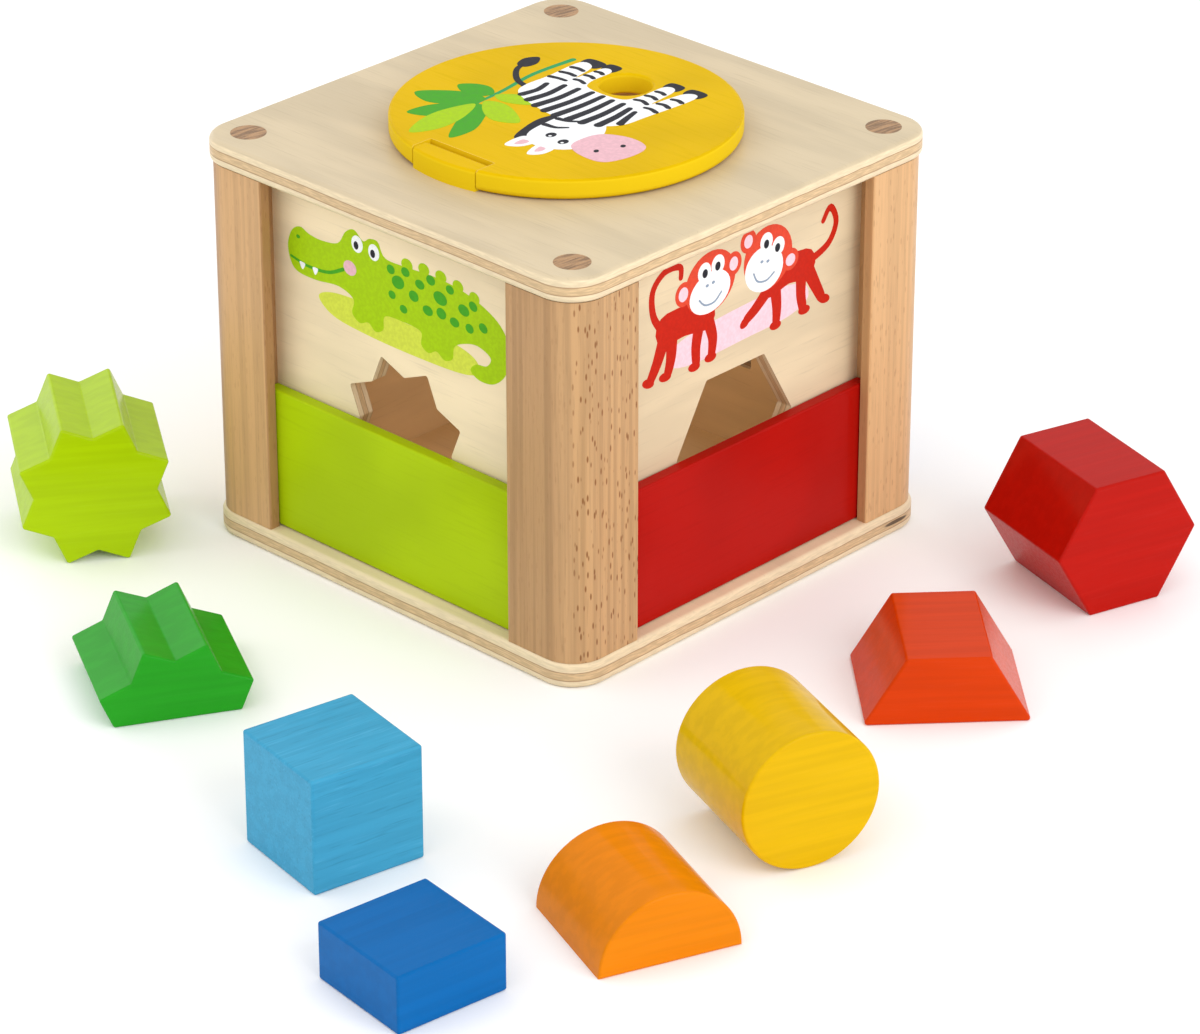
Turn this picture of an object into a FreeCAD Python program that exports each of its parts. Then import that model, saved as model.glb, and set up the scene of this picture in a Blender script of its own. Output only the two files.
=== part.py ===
import FreeCAD, Part
import math
import os

os.makedirs("parts", exist_ok=True)

# Shape sorter for a small child: a cubic wooden box with four sliding half-height doors, a hinged
# round lid and eight loose blocks. Millimetres. The origin is the middle of the box's underside,
# +Z is up. The corner between the -Y and +X walls is called the front corner.

# Box
BOX_SIDE = 180.0            # bottom and top board, square
BOX_HEIGHT = 150.0          # underside of the bottom board to the top of the top board
BOARD_THICKNESS = 9.0
BOARD_CORNER = 14.0         # plan radius of the boards' corners
BOARD_OVERHANG = 1.1        # boards stand proud of the posts all round
BOARD_EASE = 2.0            # rounded-over edges of the boards
MOUTH_EASE = 1.5
MOUTH_DIAMETER = 92.0       # round opening in the top board

# Corner posts
POST_SIDE = 31.0
POST_LIP = 4.3              # wood left in front of a door
GROOVE_DEPTH = 5.0          # how far doors and walls enter a post
POST_EASE = 0.8

# Walls and doors
WALL_THICKNESS = 6.2
DOOR_THICKNESS = 5.0
DOOR_EASE = 0.8
FREE_GAP = 0.4              # clearance on each side of anything that slides or swings
REST_GAP = 0.3              # clearance under a moving piece at rest

# Dowels that hold the boards to the posts
DOWEL_DIAMETER = 12.5
DOWEL_LENGTH = 30.0
DOWEL_INSET = 13.6          # dowel axis from both edges of a board
DOWEL_CHAMFER = 1.0         # at the hidden end
DOWEL_END_ROOM = 0.5        # bore deeper than the dowel

# Holes in the walls, centred just above the top of a closed door
HOLE_RISE = 0.2
RAISED_DOOR_CLEARANCE = 0.2  # between a raised door and the tallest hole
STAR_TIP_RADIUS = 28.8      # eight-pointed star, two squares turned by 45 degrees
HEXAGON_HALF_HEIGHT = 24.9
SQUARE_SIDE = 41.8
ROUND_RADIUS = 24.7
HOLE_CORNER = 1.0

# Loose blocks
BLOCK_CLEARANCE = 0.55      # block smaller than its hole, per side
BLOCK_LENGTH = 47.0         # length of every prism along its axis, except the cube
BLOCK_EASE = 0.9

# Lid, its finger hole and its hinge
LID_DIAMETER = 121.0
LID_THICKNESS = 7.4
LID_TOP_EASE = 1.2
LID_BOTTOM_EASE = 2.0
FINGER_HOLE_DIAMETER = 18.4
FINGER_HOLE_OFFSET = 29.5   # from the lid's centre, away from the hinge
HINGE_BLOCK_LENGTH = 29.2
HINGE_AXIS_INSET = 4.5      # from the lid's rim
HINGE_AXIS_RISE = 0.2       # above the middle of the lid's thickness
HINGE_INNER_REACH = 5.6     # hinge block, from the axis towards the lid's centre
HINGE_BLOCK_ROUND = 3.0     # rounded upper inner edge of the hinge block
HINGE_NOTCH_GAP = 0.6       # between the hinge block and the lid's notch, towards the lid's centre
HINGE_PIN_DIAMETER = 2.5
PIN_RUNNING_CLEARANCE = 0.05

# Sizes that follow from the ones above
half_side = BOX_SIDE / 2
post_outer = half_side - BOARD_OVERHANG
post_inner = post_outer - POST_SIDE
opening_height = BOX_HEIGHT - 2 * BOARD_THICKNESS
board_top = BOX_HEIGHT
groove_front = post_outer - POST_LIP
door_front = groove_front - FREE_GAP
wall_front = door_front - DOOR_THICKNESS - FREE_GAP
groove_back = wall_front - WALL_THICKNESS
wall_width = 2 * (post_inner + GROOVE_DEPTH)
door_width = wall_width - 2 * FREE_GAP
star_reach = STAR_TIP_RADIUS * math.cos(math.radians(22.5))
hole_reach = max(star_reach, HEXAGON_HALF_HEIGHT, SQUARE_SIDE / 2, ROUND_RADIUS)
# a raised door, resting under the top board, clears the whole hole
door_height = (opening_height - 2 * REST_GAP - HOLE_RISE - hole_reach - RAISED_DOOR_CLEARANCE) / 2
door_bottom = BOARD_THICKNESS + REST_GAP
hole_centre_height = door_bottom + door_height + HOLE_RISE
dowel_centre = half_side - DOWEL_INSET
lid_bottom = board_top + REST_GAP
lid_top = lid_bottom + LID_THICKNESS
lid_radius = LID_DIAMETER / 2
hinge_offset = lid_radius - HINGE_AXIS_INSET
hinge_height = lid_bottom + LID_THICKNESS / 2 + HINGE_AXIS_RISE

Vector = FreeCAD.Vector
Z_AXIS = Vector(0, 0, 1)
X_AXIS = Vector(1, 0, 0)
ORIGIN = Vector(0, 0, 0)


def rounded_face(corners):
    """Flat face in the XY plane from (x, y, radius) corners; a radius of 0 leaves a sharp corner."""
    count = len(corners)
    ends = []
    for index in range(count):
        x, y, radius = corners[index]
        here = Vector(x, y, 0)
        before = Vector(corners[index - 1][0], corners[index - 1][1], 0).sub(here).normalize()
        after_corner = corners[(index + 1) % count]
        after = Vector(after_corner[0], after_corner[1], 0).sub(here).normalize()
        if radius == 0:
            ends.append((here, None, here))
            continue
        half_angle = before.getAngle(after) / 2
        run = radius / math.tan(half_angle)
        middle = (before + after).normalize()
        bulge = radius / math.sin(half_angle) - radius
        ends.append((here + before * run, here + middle * bulge, here + after * run))
    edges = []
    for index in range(count):
        start, middle, end = ends[index]
        if middle is not None:
            edges.append(Part.Arc(start, middle, end).toShape())
        edges.append(Part.makeLine(end, ends[(index + 1) % count][0]))
    return Part.Face(Part.Wire(edges))


def eased(shape, radius, wanted):
    """Rounds over every edge for which wanted(edge) is true."""
    edges = [edge for edge in shape.Edges if wanted(edge)]
    return shape.makeFillet(radius, edges)


def level_edge(*heights):
    """Test for an edge that lies wholly at one of the given heights."""
    def test(edge):
        return any(
            abs(edge.BoundBox.ZMin - height) < 0.01 and abs(edge.BoundBox.ZMax - height) < 0.01
            for height in heights
        )
    return test


def round_hole(x, y, diameter, bottom, height):
    return Part.makeCylinder(diameter / 2, height, Vector(x, y, bottom), Z_AXIS)


def turned(shape, angle):
    """Copy of a shape turned about the box's vertical axis."""
    copy = shape.copy()
    copy.rotate(ORIGIN, Z_AXIS, angle)
    return copy


# Outlines of the four shapes, drawn upright about their centre. A clearance shrinks them.
def star_corners(clearance, upper_half=False):
    tip = STAR_TIP_RADIUS - clearance
    notch = tip * math.cos(math.radians(45)) / math.cos(math.radians(22.5))
    steps = range(0, 9) if upper_half else range(0, 16)
    corners = []
    for step in steps:
        angle = math.radians(22.5 * step)
        reach = tip if step % 2 else notch
        corners.append((reach * math.cos(angle), reach * math.sin(angle), HOLE_CORNER))
    return corners


def hexagon_corners(clearance, upper_half=False):
    side = (HEXAGON_HALF_HEIGHT - clearance) / math.cos(math.radians(30))
    steps = range(0, 4) if upper_half else range(0, 6)
    corners = []
    for step in steps:
        angle = math.radians(60 * step)
        corners.append((side * math.cos(angle), side * math.sin(angle), HOLE_CORNER))
    return corners


def square_corners(clearance, upper_half=False):
    reach = SQUARE_SIDE / 2 - clearance
    low = 0 if upper_half else -reach
    return [
        (reach, low, HOLE_CORNER),
        (reach, reach, HOLE_CORNER),
        (-reach, reach, HOLE_CORNER),
        (-reach, low, HOLE_CORNER),
    ]


def round_face(clearance, upper_half=False):
    radius = ROUND_RADIUS - clearance
    if not upper_half:
        return Part.Face(Part.Wire(Part.makeCircle(radius)))
    arc = Part.makeCircle(radius, ORIGIN, Z_AXIS, 0, 180)
    base = Part.makeLine(Vector(-radius, 0, 0), Vector(radius, 0, 0))
    return Part.Face(Part.Wire([arc, base]))


def shape_face(name, clearance, upper_half=False):
    if name == "round":
        return round_face(clearance, upper_half)
    outlines = {"star": star_corners, "hexagon": hexagon_corners, "square": square_corners}
    return rounded_face(outlines[name](clearance, upper_half))


# Boards
def make_board(mouth_diameter):
    corners = [
        (half_side, -half_side, BOARD_CORNER),
        (half_side, half_side, BOARD_CORNER),
        (-half_side, half_side, BOARD_CORNER),
        (-half_side, -half_side, BOARD_CORNER),
    ]
    board = rounded_face(corners).extrude(Vector(0, 0, BOARD_THICKNESS))
    board = eased(board, BOARD_EASE, level_edge(0, BOARD_THICKNESS))
    if mouth_diameter > 0:
        board = board.cut(round_hole(0, 0, mouth_diameter, -1, BOARD_THICKNESS + 2))
        mouth_edges = [edge for edge in board.Edges if is_circle_of(edge, mouth_diameter / 2)]
        board = board.makeFillet(MOUTH_EASE, mouth_edges)
    for turn in range(4):
        hole = round_hole(dowel_centre, -dowel_centre, DOWEL_DIAMETER, -1, BOARD_THICKNESS + 2)
        board = board.cut(turned(hole, 90 * turn))
    return board


def is_circle_of(edge, radius):
    return isinstance(edge.Curve, Part.Circle) and abs(edge.Curve.Radius - radius) < 0.001


bottom_board = make_board(0)
bottom_board.exportStep("parts/bottom_board.step")

top_board = make_board(MOUTH_DIAMETER)
top_board.translate(Vector(0, 0, board_top - BOARD_THICKNESS))
top_board.exportStep("parts/top_board.step")


# Corner posts: one outline with a groove on each inner side, turned to the four corners
def make_post():
    post_corner = BOARD_CORNER - BOARD_OVERHANG
    groove_end = post_inner + GROOVE_DEPTH
    corners = [
        (post_inner, -post_inner, POST_EASE),
        (post_inner, -groove_back, 0),
        (groove_end, -groove_back, 0),
        (groove_end, -groove_front, 0),
        (post_inner, -groove_front, POST_EASE / 2),
        (post_inner, -post_outer, POST_EASE),
        (post_outer, -post_outer, post_corner),
        (post_outer, -post_inner, POST_EASE),
        (groove_front, -post_inner, POST_EASE / 2),
        (groove_front, -groove_end, 0),
        (groove_back, -groove_end, 0),
        (groove_back, -post_inner, 0),
    ]
    post = rounded_face(corners).extrude(Vector(0, 0, opening_height))
    post.translate(Vector(0, 0, BOARD_THICKNESS))
    bore_depth = DOWEL_LENGTH - BOARD_THICKNESS + DOWEL_END_ROOM
    for bottom in [BOARD_THICKNESS - 1, board_top - BOARD_THICKNESS - bore_depth]:
        bore = round_hole(dowel_centre, -dowel_centre, DOWEL_DIAMETER, bottom, bore_depth + 1)
        post = post.cut(bore)
    return post


post = make_post()
for turn, corner_name in enumerate(["front", "right", "back", "left"]):
    turned(post, 90 * turn).exportStep("parts/post_%s.step" % corner_name)


# Dowels: flush with the outside of the board, the hidden end chamfered
def make_dowels(flush_height, direction):
    dowels = []
    for turn in range(4):
        base = Vector(dowel_centre, -dowel_centre, flush_height)
        dowel = Part.makeCylinder(DOWEL_DIAMETER / 2, DOWEL_LENGTH, base, Vector(0, 0, direction))
        hidden_end = flush_height + direction * DOWEL_LENGTH
        ends = [edge for edge in dowel.Edges if level_edge(hidden_end)(edge)]
        dowels.append(turned(dowel.makeChamfer(DOWEL_CHAMFER, ends), 90 * turn))
    return Part.makeCompound(dowels)


make_dowels(board_top, -1).exportStep("parts/top_dowels.step")
make_dowels(0, 1).exportStep("parts/bottom_dowels.step")


# Walls, each with one hole, and the doors that slide up in front of them
def make_wall(hole_shape):
    wall = Part.makeBox(
        wall_width, WALL_THICKNESS, opening_height, Vector(-wall_width / 2, -wall_front, BOARD_THICKNESS)
    )
    hole = shape_face(hole_shape, 0).extrude(Vector(0, 0, WALL_THICKNESS + 2))
    hole.rotate(ORIGIN, X_AXIS, 90)
    hole.translate(Vector(0, -groove_back + 1, hole_centre_height))
    return wall.cut(hole)


def make_door():
    door = Part.makeBox(
        door_width, DOOR_THICKNESS, door_height, Vector(-door_width / 2, -door_front, door_bottom)
    )
    return door.makeFillet(DOOR_EASE, door.Edges)


door = make_door()
walls = [("star", "green"), ("hexagon", "red"), ("square", "blue"), ("round", "yellow")]
for turn, (hole_shape, door_colour) in enumerate(walls):
    turned(make_wall(hole_shape), 90 * turn).exportStep("parts/wall_%s.step" % hole_shape)
    turned(door, 90 * turn).exportStep("parts/door_%s.step" % door_colour)


# Lid: a disc with a finger hole, notched at its rim for the hinge block
def make_rim_cylinder(bottom, height):
    return Part.makeCylinder(lid_radius, height, Vector(0, 0, bottom), Z_AXIS)


def make_pin(diameter):
    """Hinge pin or its bore, long enough to reach past the lid's rim on both sides."""
    base = Vector(-lid_radius, -hinge_offset, hinge_height)
    return Part.makeCylinder(diameter / 2, LID_DIAMETER, base, X_AXIS)


def make_lid():
    lid = make_rim_cylinder(lid_bottom, LID_THICKNESS)
    lid = eased(lid, LID_TOP_EASE, level_edge(lid_top))
    lid = eased(lid, LID_BOTTOM_EASE, level_edge(lid_bottom))
    hole_bottom = lid_bottom - 1
    hole = round_hole(0, FINGER_HOLE_OFFSET, FINGER_HOLE_DIAMETER, hole_bottom, LID_THICKNESS + 2)
    lid = lid.cut(hole)
    rims = [edge for edge in lid.Edges if is_circle_of(edge, FINGER_HOLE_DIAMETER / 2)]
    lid = lid.makeFillet(LID_TOP_EASE, rims)
    notch_length = HINGE_BLOCK_LENGTH + 2 * FREE_GAP
    notch_inner = -hinge_offset + HINGE_INNER_REACH + HINGE_NOTCH_GAP
    notch = Part.makeBox(
        notch_length, lid_radius, LID_THICKNESS + 2,
        Vector(-notch_length / 2, notch_inner - lid_radius, lid_bottom - 1),
    )
    return lid.cut(notch).cut(make_pin(HINGE_PIN_DIAMETER))


def make_hinge_block():
    inner = -hinge_offset + HINGE_INNER_REACH
    outer = -lid_radius - 1
    top = lid_top - REST_GAP
    side_view = rounded_face([
        (inner, board_top, 0),
        (inner, top, HINGE_BLOCK_ROUND),
        (outer, top, 0),
        (outer, board_top, 0),
    ])
    block = side_view.extrude(Vector(0, 0, HINGE_BLOCK_LENGTH))
    # the side view is drawn in XY; turn it so that its first axis is Y and its second is Z
    block.rotate(ORIGIN, Vector(1, 1, 1), 120)
    block.translate(Vector(-HINGE_BLOCK_LENGTH / 2, 0, 0))
    block = block.common(make_rim_cylinder(board_top - 1, LID_THICKNESS + 4))
    outer_top = [edge for edge in block.Edges if is_outer_top(edge, top)]
    block = block.makeFillet(LID_TOP_EASE, outer_top)
    return block.cut(make_pin(HINGE_PIN_DIAMETER + 2 * PIN_RUNNING_CLEARANCE))


def is_outer_top(edge, top):
    return is_circle_of(edge, lid_radius) and level_edge(top)(edge)


make_lid().exportStep("parts/lid.step")
make_hinge_block().exportStep("parts/hinge_block.step")
# both ends of the pin are dressed flush with the lid's rim
hinge_pin = make_pin(HINGE_PIN_DIAMETER).common(make_rim_cylinder(lid_bottom, LID_THICKNESS))
hinge_pin.exportStep("parts/hinge_pin.step")


# Loose blocks: prisms lying on the floor. Each is made upright about the box's axis, turned about
# Z and set down beside the box, its place counted from the box's sides
def make_block(shape_name, length, upper_half):
    block = shape_face(shape_name, BLOCK_CLEARANCE, upper_half).extrude(Vector(0, 0, length))
    block = eased(block, BLOCK_EASE, level_edge(0, length))
    block.rotate(ORIGIN, X_AXIS, 90)
    block.translate(Vector(0, length / 2, 0))
    return block


def set_down(block, x, y, turn):
    placed = turned(block, turn)
    floor_gap = placed.optimalBoundingBox(False, False).ZMin
    placed.translate(Vector(x, y, -floor_gap))
    return placed


cube_side = SQUARE_SIDE - 2 * BLOCK_CLEARANCE
block_places = [
    ("block_star", "star", BLOCK_LENGTH, False, -half_side - 26.0, -half_side - 31.2, 54.8),
    ("block_half_star", "star", BLOCK_LENGTH, True, -14.7, -half_side - 88.6, 60.4),
    ("block_cube", "square", cube_side, False, half_side + 12.7, -half_side - 121.7, -11.3),
    ("block_half_cube", "square", cube_side, True, half_side + 86.3, -half_side - 159.7, -7.9),
    ("block_cylinder", "round", BLOCK_LENGTH, False, half_side + 106.3, -half_side - 18.5, 69.2),
    ("block_half_cylinder", "round", BLOCK_LENGTH, True, half_side + 112.5, -half_side - 88.5, 68.4),
    ("block_hexagon", "hexagon", BLOCK_LENGTH, False, half_side + 69.9, half_side + 2.7, 73.0),
    ("block_half_hexagon", "hexagon", BLOCK_LENGTH, True, half_side + 83.5, -1.8, 47.1),
]
for node, shape_name, length, upper_half, x, y, turn in block_places:
    block = make_block(shape_name, length, upper_half)
    set_down(block, x, y, turn).exportStep("parts/%s.step" % node)
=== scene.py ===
import math

import bpy
from mathutils import Matrix, Vector


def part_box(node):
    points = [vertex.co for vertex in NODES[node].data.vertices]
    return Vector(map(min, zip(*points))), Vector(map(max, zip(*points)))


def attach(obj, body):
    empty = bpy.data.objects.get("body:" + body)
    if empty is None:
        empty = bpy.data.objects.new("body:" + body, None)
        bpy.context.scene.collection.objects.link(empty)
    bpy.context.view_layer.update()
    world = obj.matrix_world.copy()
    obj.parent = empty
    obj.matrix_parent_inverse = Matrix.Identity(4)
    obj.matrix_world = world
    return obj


bl_info = {
    "name": "Wooden shape sorter",
    "version": (1, 0, 0),
    "blender": (4, 5, 0),
    "location": "View3D > Sidebar > Shape sorter",
    "description": "Gives the shape sorter its woods, lacquers, stains and printed animals",
    "category": "Object",
}

MM = 0.001

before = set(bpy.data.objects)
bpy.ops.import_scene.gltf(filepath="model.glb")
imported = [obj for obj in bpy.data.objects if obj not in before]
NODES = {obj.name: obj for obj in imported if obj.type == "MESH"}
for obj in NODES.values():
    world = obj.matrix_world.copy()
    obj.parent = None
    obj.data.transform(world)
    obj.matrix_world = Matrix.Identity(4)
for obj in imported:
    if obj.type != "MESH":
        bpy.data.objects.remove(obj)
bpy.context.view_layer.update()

# Colours of glue lines, painted shade in gaps, flecks and painted shade on one pair of a post's faces
GLUE = "#96704C"
VOID_SHADOW = "#3A2416"
RAY_FLECK = "#83532C"
BEECH_SHADE = "#7C4A1C"

LACQUER_IOR = 1.5
BEVEL_SAMPLES = 6
PLY_BEND = 0.35
PLY_SHIFT = 0.17
WALL_PLIES = 3
RAY_SLANT = -8  # degrees
VOID_HALF_SIZES = (4 * MM, 7 * MM, 0.9 * MM)
VOID_FROM_CORNER = 17 * MM
VOID_HEIGHT = 0.52  # share of the bottom board's thickness

# Board and the tone of its face
BOARDS = (("bottom_board", 1.0), ("top_board", 0.74))
BOARD_GRAIN_ORIGIN = (20 * MM, 10 * MM)

# Wall, the axis across its thickness and the tone of its face
WALLS = (("wall_star", 1, 1.04), ("wall_hexagon", 0, 0.86), ("wall_square", 1, 1.0), ("wall_round", 0, 1.0))

# Post, its tone, strength of the stripes and of the flecks, painted shade on its Y faces and on its X faces
POSTS = (
    ("post_front", 0.86, 0.6, 0.9, 0.22, 0.0),
    ("post_right", 1.03, 0.35, 0.25, 0.22, 0.0),
    ("post_back", 1.0, 0.5, 0.5, 0.1, 0.0),
    ("post_left", 0.98, 0.4, 0.25, 0.06, 0.5),
)

# Width and length of the grain that shows through the lacquer
DOOR_GRAIN = (1 * MM, 20 * MM)
LID_GRAIN = (1.1 * MM, 22 * MM)
# How much the clear coat shines, and how bright the pale edge lines are: worn lacquer, and partly a painted
# highlight
DOOR_SHINE = 0.45
DOOR_EDGE_HIGHLIGHT = 1.22
LID_SHINE = 0.04
LID_EDGE_HIGHLIGHT = 1.1
EDGE_HIGHLIGHT_WHITE = 0.22
# Where the stain is thin, its colour is this much brighter, and lifted towards white; along the edges this
# paler colour is partly a painted highlight
STAIN_GAIN = 1.12
STAIN_LIFT = 0.025
# Hinge parts get a narrower pale edge line, worn lacquer and painted highlight, than the lid
HINGE_EDGE_SHARE = 0.25

# How strongly the grain shows through the stain; the pale blue one is the thinnest
CUBE_STREAKS = 0.6
OTHER_STREAKS = 0.12

# How far each loose block is turned about the vertical, in degrees; a prism lies along its own Y
BLOCK_TURNS = {
    "block_star": 54.8,
    "block_half_star": 60.4,
    "block_cube": -11.3,
    "block_half_cube": -7.9,
    "block_cylinder": 69.2,
    "block_half_cylinder": 68.4,
    "block_hexagon": 73.0,
    "block_half_hexagon": 47.1,
}


def linear(hex_colour):
    """Linear colour for a shader from an sRGB hex value."""
    channels = [int(hex_colour[start:start + 2], 16) / 255 for start in (1, 3, 5)]
    curve = [c / 12.92 if c <= 0.04045 else ((c + 0.055) / 1.055) ** 2.4 for c in channels]
    return (*curve, 1.0)


def colour_property(name, description, hex_colour):
    return bpy.props.FloatVectorProperty(
        name=name, description=description, subtype="COLOR", size=3, min=0, max=1,
        default=linear(hex_colour)[:3],
    )


class SorterColours(bpy.types.PropertyGroup):
    """Colours of the woods, lacquers and stains"""
    birch: colour_property("Birch", "Face veneer of the plywood boards and walls", "#E9D5B1")
    birch_core: colour_property("Birch core", "Cross plies seen on a plywood edge", "#D2B48A")
    beech: colour_property("Beech", "Corner posts", "#CFA474")
    dowel: colour_property("Dowel end", "End grain of the dowels", "#A27D58")
    green_lacquer: colour_property("Green lacquer", "Door under the star hole", "#A9C308")
    red_lacquer: colour_property("Red lacquer", "Door under the hexagon hole", "#AC1008")
    blue_lacquer: colour_property("Blue lacquer", "Door under the square hole", "#2459A6")
    yellow_lacquer: colour_property("Yellow lacquer", "Lid, hinge block and fourth door", "#D6AE00")
    # painted light: a lighter yellow for the lid's upright rim, for the light on its side
    lid_rim_lit: colour_property("Lid rim", "Upright rim of the lid", "#E6C418")
    star: colour_property("Star stain", "Whole star block", "#A5C306")
    half_star: colour_property("Half star stain", "Half star block", "#25981E")
    cube: colour_property("Cube stain", "Whole cube block", "#3E99BE")
    half_cube: colour_property("Half cube stain", "Half cube block", "#0060A4")
    cylinder: colour_property("Cylinder stain", "Whole cylinder block", "#D5AA00")
    half_cylinder: colour_property("Half cylinder stain", "Half cylinder block", "#DB7C02")
    hexagon: colour_property("Hexagon stain", "Whole hexagon block", "#B01004")
    half_hexagon: colour_property("Half hexagon stain", "Half hexagon block", "#CB3A00")


class SorterFinish(bpy.types.PropertyGroup):
    """Sizes of the finishes"""
    ply_count: bpy.props.IntProperty(
        name="Plies", description="Veneers in the plywood boards, an odd number", default=3, min=3, max=11)
    # the lighter line along edges stands for worn lacquer and is partly a painted highlight
    wear_and_highlight_width: bpy.props.FloatProperty(
        name="Worn and highlit edge", description="Width of the lighter line along lacquered edges",
        default=0.7 * MM, min=0, subtype="DISTANCE")
    ink_thickness: bpy.props.FloatProperty(
        name="Ink thickness", description="Thickness of one layer of screen-printed ink",
        default=0.02 * MM, min=0.005 * MM, subtype="DISTANCE")


class SorterStage(bpy.types.PropertyGroup):
    """Floor, light and camera"""
    floor_side: bpy.props.FloatProperty(
        name="Floor", description="Side of the square floor", default=16.0, min=1, subtype="DISTANCE")
    sky_strength: bpy.props.FloatProperty(
        name="Surround", description="Brightness of the white surround", default=1.0, min=0)
    key_power: bpy.props.FloatProperty(
        name="Key light", description="Power of the large soft light", default=19.0, min=0)
    lens: bpy.props.FloatProperty(
        name="Lens", description="Focal length of the camera in millimetres", default=153.18, min=20,
        unit="CAMERA")


def add(tree, kind, sockets=None, **settings):
    """Adds a node. Sockets maps an input to a value, or to another node's output to link from."""
    node = tree.nodes.new(kind)
    for key, value in settings.items():
        setattr(node, key, value)
    for key, value in (sockets or {}).items():
        if isinstance(value, bpy.types.NodeSocket):
            tree.links.new(value, node.inputs[key])
        else:
            node.inputs[key].default_value = value
    return node


def start_material(name):
    """Empty material with a shader wired to its output."""
    material = bpy.data.materials.new(name)
    material.use_nodes = True
    tree = material.node_tree
    tree.nodes.clear()
    shader = add(tree, "ShaderNodeBsdfPrincipled")
    add(tree, "ShaderNodeOutputMaterial", {"Surface": shader.outputs["BSDF"]})
    return material, tree, shader


def grain_space(tree, fibre, centre=(0, 0, 0), turn=0.0):
    """Coordinates that advance by one per fibre (sizes in metres), about a centre and a turn."""
    place = add(tree, "ShaderNodeTexCoord").outputs["Object"]
    return add(tree, "ShaderNodeMapping", {
        "Vector": place, "Location": centre, "Rotation": (0, 0, turn), "Scale": fibre,
    }, vector_type="TEXTURE").outputs["Vector"]


def ramp(tree, value, low, high, first=0.0, last=1.0):
    """Eases a value between two levels."""
    return add(tree, "ShaderNodeMapRange", {
        "Value": value, "From Min": low, "From Max": high, "To Min": first, "To Max": last,
    }, interpolation_type="SMOOTHSTEP").outputs["Result"]


def shade(colour, factor):
    """The same colour, lighter or darker."""
    return (*(min(1.0, channel * factor) for channel in colour[:3]), 1.0)


def noise(tree, size, detail, centre=(0, 0, 0), turn=0.0):
    """Cloudy pattern between 0 and 1, in lumps of the given size."""
    return add(tree, "ShaderNodeTexNoise", {
        "Vector": grain_space(tree, size, centre, turn), "Scale": 1.0, "Detail": detail}).outputs["Fac"]


def blend(tree, amount, first, second):
    """The first colour where the amount is 0, the second where it is 1."""
    return add(tree, "ShaderNodeMix", {0: amount, 6: first, 7: second}, data_type="RGBA").outputs[2]


def reckon(tree, operation, *values):
    """Result of one sum over numbers or other nodes' outputs."""
    return add(tree, "ShaderNodeMath", dict(enumerate(values)), operation=operation).outputs[0]


def drawn_out(fine, long, axis):
    """Size of a pattern that is long on one axis and fine on the other two."""
    size = [fine, fine, fine]
    size[axis] = long
    return size


def facing(tree, axis):
    """1 where the surface looks along an axis of its piece, 0 where it looks across it."""
    normal = add(tree, "ShaderNodeTexCoord").outputs["Normal"]
    return reckon(tree, "ABSOLUTE", add(tree, "ShaderNodeSeparateXYZ", {0: normal}).outputs[axis])


def blended_with_white(colour, share):
    """The colour with a share of it replaced by white."""
    return (*((1 - share) * channel + share for channel in colour[:3]), 1.0)


def edge_wear_and_highlight(tree, width, strength):
    """The given strength along the edges of a piece and 0 elsewhere."""
    # paler edges: worn lacquer and stain, and partly a painted highlight where a rounded edge catches the
    # light
    bevelled = add(tree, "ShaderNodeBevel", {"Radius": width}, samples=BEVEL_SAMPLES).outputs["Normal"]
    plain = add(tree, "ShaderNodeNewGeometry").outputs["Normal"]
    # 1 where the rounded and the plain surface look the same way, less beside an edge
    likeness = add(tree, "ShaderNodeVectorMath", {0: bevelled, 1: plain}, operation="DOT_PRODUCT")
    return reckon(tree, "MULTIPLY", ramp(tree, likeness.outputs["Value"], 0.985, 0.86), strength)


def surface(tree, shader, colour, grain, smooth, rough, relief, depth, specular):
    """Colour, a roughness that follows the grain, a slight relief and the strength of plain reflections."""
    tree.links.new(colour, shader.inputs["Base Color"])
    tree.links.new(ramp(tree, grain, 0.3, 0.7, smooth, rough), shader.inputs["Roughness"])
    bump = add(tree, "ShaderNodeBump", {"Height": grain, "Strength": relief, "Distance": depth})
    tree.links.new(bump.outputs["Normal"], shader.inputs["Normal"])
    shader.inputs["IOR"].default_value = LACQUER_IOR
    shader.inputs["Specular IOR Level"].default_value = specular


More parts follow.
